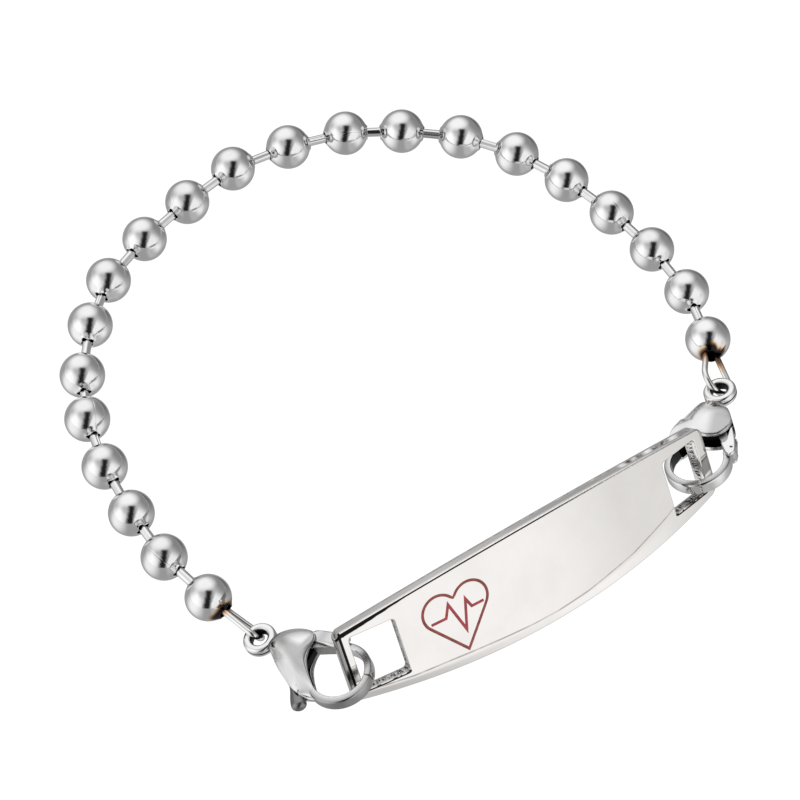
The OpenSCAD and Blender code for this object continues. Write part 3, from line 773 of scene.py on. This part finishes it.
def soft(values, spread):
    """Values round a closed edge, blurred by a bell of the given spread in points."""
    k = np.arange(-3 * spread, 3 * spread + 1)
    bell = np.exp(-0.5 * (k / spread) ** 2)
    return np.convolve(np.r_[values[-3 * spread:], values, values[:3 * spread]], bell / bell.sum(), "valid")


def dome_height(x, y):
    """A bell: 0.88 at its foot and 1.7 at its top."""
    return 0.88 + 0.82 * np.exp(-((x - DOME_C[0]) ** 2 + (y - DOME_C[1]) ** 2) / 3.4 ** 2)


def lens(centre, edge, top_rows, under_rows):
    """Rows of a closed lens: centre to edge, dense near the edge, and back. Each is x, y and edge distance."""
    reach = np.linalg.norm(edge - centre, axis=1)
    out = [1 - (1 - np.linspace(*ends)) ** 1.9 for ends in ((0, 1, top_rows), (1, 0, under_rows))]
    return [(*np.moveaxis(centre + f[:, None, None] * (edge - centre), -1, 0), (1 - f[:, None]) * reach) for f in out]


def with_wall(top, under, at=(0.35, 0.7)):
    """The rows of a lens's top and underside, with two rows of its wall between them."""
    return np.concatenate([top, [top[-1] * (1 - t) + under[0] * t for t in at], under])


def shell_form(form, side, hand):
    """One domed shell: a pillow, 1 minus the cube of the way out, under a square root, on a narrow flat rim. The
    right clasp's casting has a wide rough flange on its outer side. The underside steps up to the slot, which the
    shell closes on the far side and near the hook."""
    centre = np.array([1.2, 5.5])
    edge = closed_curve(SHELL_EDGE[hand], 260)
    (x, y, e), (ux, uy, ue) = lens(centre, edge, 44, 22)
    reach = e[0]
    left = hand == "left"
    flange = soft(smooth(edge[:, 0], 0.5, 1.6) * smooth(-edge[:, 1], -6.0, -5.0) * (not left and side > 0), 4)
    raised = smooth(edge[:, 1], 4.0, 4.7)
    closed = flange * (1 - smooth(ue, 1.38, 1.5))
    slot_y = np.interp(ux, [-6, -1, 1.5, 6], [4.7, 3.7, 3.1, 4.0])
    slot = (smooth(uy - slot_y, 0.0, 0.3) * smooth(ux, -2.8, -2.65)
            * (1 - smooth(uy, 7.7, 8.1) * smooth(ux, 2.2, 2.6)))
    low = 0.9 * slot * (1 - closed) + closed * 0.55 * raised - 0.05
    ring_side = soft(smooth(edge[:, 1] - np.interp(edge[:, 0], [-3, -1, 3], [5.2, 5.5, 7.8]), 0.0, 0.5), 5)
    low = low + 0.20 * ring_side * (1 - smooth(ue, 0.0, 0.30)) * (low > 0.5)
    edge_low = low[0]
    width = np.maximum(0.24 * ring_side, (1.35 - 0.25 * raised) * flange) + 0.001
    rim = soft(dome_height(*edge.T), 8)
    grown = np.max([np.roll(edge_low, k) for k in range(-26, 27)], 0)
    shelf = np.maximum(soft(edge_low, 14) + 0.25, edge_low + 0.12) if left else np.maximum(soft(grown, 12) + 0.13, 0.34)
    shelf = np.minimum(shelf, rim - 0.08)
    shelf = shelf * (1 - flange) + (0.42 + 0.24 * raised) * flange
    f = np.clip((reach - e) / (reach - width), 0, 1)
    lip = np.minimum(shelf + 0.08 * ring_side + 0.50 * flange, rim - 0.03)
    peak = dome_height(x, y)
    z = lip + np.maximum(peak - lip, 0) * np.sqrt(1 - f ** 3)
    on_rim = e < width
    u = np.clip(e / width, 0, 1)
    z = np.where(on_rim, shelf + (lip - shelf) * smooth(u, 0.75, 1.0) - 0.08 * (1 - smooth(u, 0.0, 0.35)), z)
    # Black painted on the right clasp's flange, more of it toward the eye end
    dark = on_rim * flange * smooth(u, 0.14, 0.24) * np.interp(edge[:, 1], [1.6, 2.6, 4.4], [0.8, 0.55, 0.42])
    # A dark reflection painted at the foot of the dome on the ring side, wider and darker on the right clasp
    line_at, line_wide, line_dark = (0.0, 0.035, 0.5) if left else (0.06, 0.10, 0.62)
    dark = dark + ring_side * line_dark * np.exp(-((e - width - line_at) / line_wide) ** 2)
    X, Y, Z = with_wall(x, ux), with_wall(y, uy), with_wall(z, low)
    # The neck toward the eye: rough as cast, and painted black near its end
    neck = smooth(-Y, -2.7, -1.9) * (Z < 0.9)
    # Painted shade: black in the slot, on the underside and on the wall above it
    inside = smooth(ue, 0.26, 0.33) * (low > 0)
    soot = np.r_[dark, np.outer([0.35, 0.6], smooth(edge_low, 0.2, 0.7)), inside]
    # Painted light and shade on the domes: on the left clasp lighter along both sides and darker in between, where
    # negative values paint light; on the right clasp darker on its -X side toward the ring
    inward = np.interp(Y, [2.2, 4.2, 6.4, 8.0], [0.95, 2.25, 3.35, 3.7]) - X
    shade = (0.64 * smooth(inward, 0.75, 2.15) - 0.23 + 0.12 * (1 - smooth(Y, 2.8, 4.2))
             - 0.52 * smooth(-X, 0.2, 1.3) * (1 - smooth(Y, 4.9, 5.7))
             if left else 0.38 * smooth(-X, -0.1, 1.1) * smooth(Y, 3.2, 4.6))
    form.grid(np.stack([X, Y, side * Z], -1), False, True, cast=0.6 * neck, shade=shade * (Z > 0.2),
              soot=np.maximum(soot, 0.55 * neck * smooth(-Y, -2.3, -1.8)), wrap=(X, Y))


def slab_form(form, centre, edge, low, high, round_r=0.1, sink=0.0, pit=None, cast=0.0, soot=0.0, shade=0.0):
    """A flat bar with rounded edges between two heights. Its top sinks toward the eye, and may hold a small pit,
    painted black as shade.
    """
    (x, y, e), (ux, uy, ue) = lens(centre, edge, 20, 10)
    drop = min(round_r, high - low - 0.1) / round_r
    top = low + (high - low - drop * round_off(e, round_r)) * (1 - sink * smooth(-y, -7.6, -5.6))
    mark = soot + 0 * x
    if pit is not None:
        d = np.hypot((x - pit[0]) / 1.6, y - pit[1])
        top = top - 0.10 * smooth(-d, -0.14, -0.05)
        mark = np.maximum(mark, smooth(-d, -0.13, -0.06))
    bottom = low + round_off(ue, min(round_r, 0.08))
    X, Y, Z = with_wall(x, ux), with_wall(y, uy), with_wall(top, bottom, (0.33, 0.67))
    mark = np.r_[mark, np.full((12, x.shape[1]), float(soot))]
    form.grid(np.stack([X, Y, Z], -1), False, True, cast=cast, soot=mark, shade=shade, wrap=(X, Y))


print("outline helpers ready")

# %% [markdown]
# The ring's two arcs, the hook and the gate, are a rounded rectangle carried along a circle, with a wide bevel on
# the outside. Each end closes with rows that shrink to a point. The eye is a thick ring with a groove round it.

# %% Arcs and the eye
BAND_HALF, BAND_END, EYE_R = np.array([(RING_R - RING_IN) / 2, 0.8]), 0.12, 1.3


def rounded_box(w, h, r, n=5):
    """Corner points of a rectangle with round corners, as one closed loop."""
    a = np.linspace(0, np.pi / 2, n)
    quarter = np.stack([w / 2 - r + r * np.cos(a), h / 2 - r + r * np.sin(a)], -1)
    half = np.r_[quarter, quarter[::-1] * [-1, 1]]
    return np.r_[half, half[::-1] * [1, -1]]


def on_circle(middle, r, a, z):
    """Points at distance r and angle a from a middle, at height z."""
    return np.stack(np.broadcast_arrays(middle[0] + r * np.cos(a), middle[1] + r * np.sin(a), z), -1)


def arc_form(form, from_deg, to_deg, cast=0.0, shade=0.0, inside=0.0):
    """A band round the ring's middle, with a dark line of painted shade in its outer bevel. shade paints shade on its
    outer wall, and inside paints black shade that fades along its inner wall."""
    box = rounded_box(*(2 * BAND_HALF), 0.14)
    bevel = smooth(box[:, 0], 0.10, 0.375)
    box[:, 1] -= np.sign(box[:, 1]) * 0.16 * bevel * (np.abs(box[:, 1]) > 0.6)
    t = np.array([1.0, 0.65, 0.3, 0.1])
    ends = 1 - np.outer(BAND_END * t * (1 - np.sqrt(1 - t ** 2)), 1 / BAND_HALF)
    ends[0] *= 0.99
    ends = np.r_[[[0.0, 0.0]], ends]
    offset = box * np.r_[ends, np.ones((90, 2)), ends[::-1]][:, None]
    a = np.radians(np.pad(np.linspace(from_deg, to_deg, 90), 5, "edge"))[:, None]
    flat_side = (np.abs(box[:, 1]) > 0.78) & (box[:, 0] < 0.12)
    # Painted shade: a dark line in the outer bevel's corner, and the shade argument on the outer wall
    corner = (box[:, 0] > 0.22) & (box[:, 0] < 0.33) & (np.abs(box[:, 1]) > 0.5)
    form.grid(on_circle(RING_C, RING_MID + offset[..., 0], a, offset[..., 1]), False, True, cast=cast * flat_side,
              shade=np.where(corner, 0.55, shade * (box[:, 0] > 0.3)),
              soot=inside * (box[:, 0] < -0.3) * (1 - smooth(np.degrees(a), 0.0, 34.0)),
              wrap=(a * RING_MID, np.arange(len(box))[None] * 0.2))


def eye_form(form):
    """A rounded box, 0.9 wide and 1.25 high, turned round the origin, with a groove outside. The groove and the
    inner wall are painted black as shade.
    """
    groove = [(0.45, -0.11), (0.43, -0.09), (0.30, -0.05), (0.30, 0.03), (0.43, 0.07), (0.45, 0.09)]
    box = np.r_[rounded_box(0.9, 1.25, 0.38, 9), groove]
    p = around(96)[:, None]
    inside = smooth(-box[:, 0], 0.22, 0.40)
    dark = 0.8 * inside
    dark[-5:-1] = 1.0
    form.grid(on_circle((0.0, 0.0), EYE_R + box[:, 0], p, box[:, 1]), True, True, cast=0.3 * inside, soot=dark,
              wrap=(p * EYE_R, box[None, :, 1]))


def tip_angle(reach):
    """Angle on the ring's middle circle at which a point is a given distance from the pivot."""
    a = np.linspace(95, 125, 3001)
    away = on_circle(RING_C, RING_MID, np.radians(a), 0.0)[:, :2] - PIVOT
    return float(a[np.argmin(np.abs(np.linalg.norm(away, axis=1) - reach))])


GATE_FROM, HOOK_TO = tip_angle(5.2), tip_angle(5.32)
print("hook ends at", round(HOOK_TO, 1), "and gate starts at", round(GATE_FROM, 1), "degrees")


# %% Clasp body, lever and pin
def clasp_body(hand):
    """Two shells, the eye, the hook and the two horns that hold the pin."""
    form = Form()
    for side in (1, -1):
        shell_form(form, side, hand)
    eye_form(form)
    left = hand == "left"
    # Painted shade on the left clasp's hook wall and horn, and black painted as shade along the hook's inner wall, most
    # on the right clasp
    arc_form(form, -32, HOOK_TO, cast=0.3, shade=0.5 * left, inside=0.3 if left else 0.85)
    slab_form(form, PIVOT, closed_curve(HORN_EDGE[hand], 120), 0.9, 1.27, 0.6 if left else 0.2, 0.95 if left else 0.55,
              None if left else (-3.42, 8.62), shade=0.2 * left)
    slab_form(form, PIVOT, hull_edge(LOW_HORN, PIVOT), -1.27, -0.9, 0.12)
    return form


def lever():
    """The gate, the boss and the arm's two bars, each the hull of two circles, and the thumb piece: a round rod
    that widens toward its end."""
    form = Form()
    arc_form(form, GATE_FROM, 205, cast=0.25)
    elbow = (-1.55, 5.85)
    # Each row: two centres, their radii, half the thickness, and black painted as shade inside the slot
    for a, b, ra, rb, half, dark in ((PIVOT, PIVOT, 0.68, 0.68, 0.8, 0.0), (PIVOT, elbow, 0.62, 0.38, 0.72, 0.3),
                                     (elbow, (2.6, 6.25), 0.38, 0.4, 0.42, 0.97)):
        circles = np.array([(*a, ra), (*b, rb)])
        centre = circles[:, :2].mean(0)
        slab_form(form, centre, hull_edge(circles, centre, 72), -half, half, 0.12, cast=0.6, soot=dark)
    start, end, thin, thick = np.array([2.9, 6.45, 0.0]), np.array([4.5, 8.2, 0.0]), 0.50, 0.80
    along, length = unit(end - start), np.linalg.norm(end - start)
    a = np.linspace(-np.pi / 2, np.pi / 2, 30)
    z = np.where(a < 0, thin * np.sin(a), length + 0.62 * np.sin(a))
    r = np.where(a < 0, thin, thick) * np.cos(a)
    join = np.linspace(0, 1, 14)[1:-1]
    z = np.r_[z[:15], join * length, z[15:]][:, None]
    r = np.r_[r[:15], thin + (thick - thin) * smooth(join, 0.0, 0.9), r[15:]][:, None]
    q = around(48)
    ring = np.cos(q)[:, None] * [-along[1], along[0], 0.0] + np.sin(q)[:, None] * [0.0, 0.0, 0.82]
    # Painted shade darkens the thumb piece evenly
    form.grid(start + z[..., None] * along + r[..., None] * ring, False, True, shade=0.7, wrap=(z, q[None]))
    return form


def pin():
    """A rod of radius 0.35 with slightly hollow ends."""
    z = np.array([-1.12, -1.14, -1.17, -1.19, -1.19, -1.17, 1.17, 1.19, 1.19, 1.17, 1.14, 1.12])[:, None]
    r = np.array([0.0, 0.15, 0.25, 0.30, 0.33, 0.35, 0.35, 0.33, 0.30, 0.25, 0.15, 0.0])[:, None]
    p = around(32)
    return Form().grid(on_circle(PIVOT, r, p, z), False, True, wrap=(z, p[None]))


CLASPS = {"left": ((-30.03, -19.94, 1.53), (13.5, 11.34, -159.34)),
          "right": ((26.34, -22.78, 2.37), (2.8, 16.4, 129.4))}
for hand, (at, turn) in CLASPS.items():
    for form, name, body, slot, node in (
            (clasp_body(hand), "shell", "bracelet", "polished_steel", "body"),
            (lever(), "gate", f"lever_{hand}", "polished_steel", "lever"),
            (pin(), "rivet", "bracelet", "plain_steel", "pin")):
        form.piece(f"clasp_{name}_{hand}", placed(at, turned(*turn)), satin, body, slot, [f"clasp_{node}_{hand}"], 35)
print("two clasps")

# %% [markdown]
# ## The wire loops
# Each end ball holds a pear-shaped loop of 0.65 mm wire that passes through the clasp's eye. It was welded inside
# the ball, and the heat left a brown tint, so the burn mark falls with the distance from the ball.

# %% Wire loops and end balls
WIRE_R, EYE_MID = 0.325, 1.35


def wire_loop(reach, w, burnt_to):
    """The loop's middle line is a wide arc, a narrow arc and straight legs that touch both, evenly sampled. A
    circle is carried along it: middle + r (cos q normal + sin q plane normal)."""
    wide, narrow, near_at = w / 2, 0.5, 1.25
    far_at = reach - wide
    spread = np.arcsin((wide - narrow) / (far_at - near_at))
    arcs = ((wide, far_at, np.linspace(-spread, np.pi + spread, 60)),
            (narrow, near_at, np.linspace(np.pi + spread, 2 * np.pi - spread, 24)))
    path = np.concatenate([np.stack([r * np.cos(a), at + r * np.sin(a)], -1) for r, at, a in arcs])
    path = np.r_[path, path[:1]]
    run = np.r_[[0], np.cumsum(np.linalg.norm(np.diff(path, axis=0), axis=1))]
    even = np.linspace(0, run[-1], 161)[:-1]
    path = np.stack([np.interp(even, run, path[:, n]) for n in (0, 1)], -1)
    ahead = np.roll(path, -1, 0) - np.roll(path, 1, 0)
    ahead /= np.linalg.norm(ahead, axis=1)[:, None]
    normal = np.stack([ahead[:, 1], -ahead[:, 0]], -1)
    q = around(28)
    flat = path[:, None] + WIRE_R * np.cos(q)[None, :, None] * normal[:, None]
    points = np.stack([flat[..., 0], WIRE_R * np.sin(q)[None] + 0 * flat[..., 0], flat[..., 1]], -1)
    burnt = 0.75 * smooth(-path[:, 1], -burnt_to, -2.0)
    return Form().grid(points, True, True, burn=burnt[:, None], wrap=(even[:, None], (q * WIRE_R)[None]))


def loop_for(i, hand, deg, slack, turn_deg, w, neighbour, burnt_to):
    """An end ball and its loop, which reaches round the middle of the eye's wall at an angle of the eye."""
    at, turn = CLASPS[hand]
    eye_wall = placed(at, turned(*turn))(on_circle((0.0, 0.0), EYE_MID, np.radians(deg), 0.0))
    to_wall = eye_wall - BALLS[i]
    reach = np.linalg.norm(to_wall) + 0.4 + WIRE_R + slack
    tilt = np.degrees(np.arccos(to_wall[2] / np.linalg.norm(to_wall)))
    swing = np.degrees(np.arctan2(to_wall[1], to_wall[0]))
    here = placed(BALLS[i], turned(0, tilt, swing) @ turned(0, 0, turn_deg))
    wire_loop(reach, w, burnt_to).piece(f"wire_loop_{hand}", here, wire_steel, "bracelet", "plain_steel")
    toward = unit(BALLS[neighbour] - BALLS[i])
    chain_ball(i, toward, unit(to_wall), 1.30, 1.0).piece(
        f"end_ball_{hand}", as_it_is, ball_steel, "bracelet", "polished_steel", [f"end_bead_{hand}"])
    print(hand, "loop reaches", round(float(reach), 2), "mm")


loop_for(0, "left", -109, 0.3, 39, 2.1, 1, 3.2)
loop_for(20, "right", -68, 0.5, 47, 3.7, 19, 4.6)
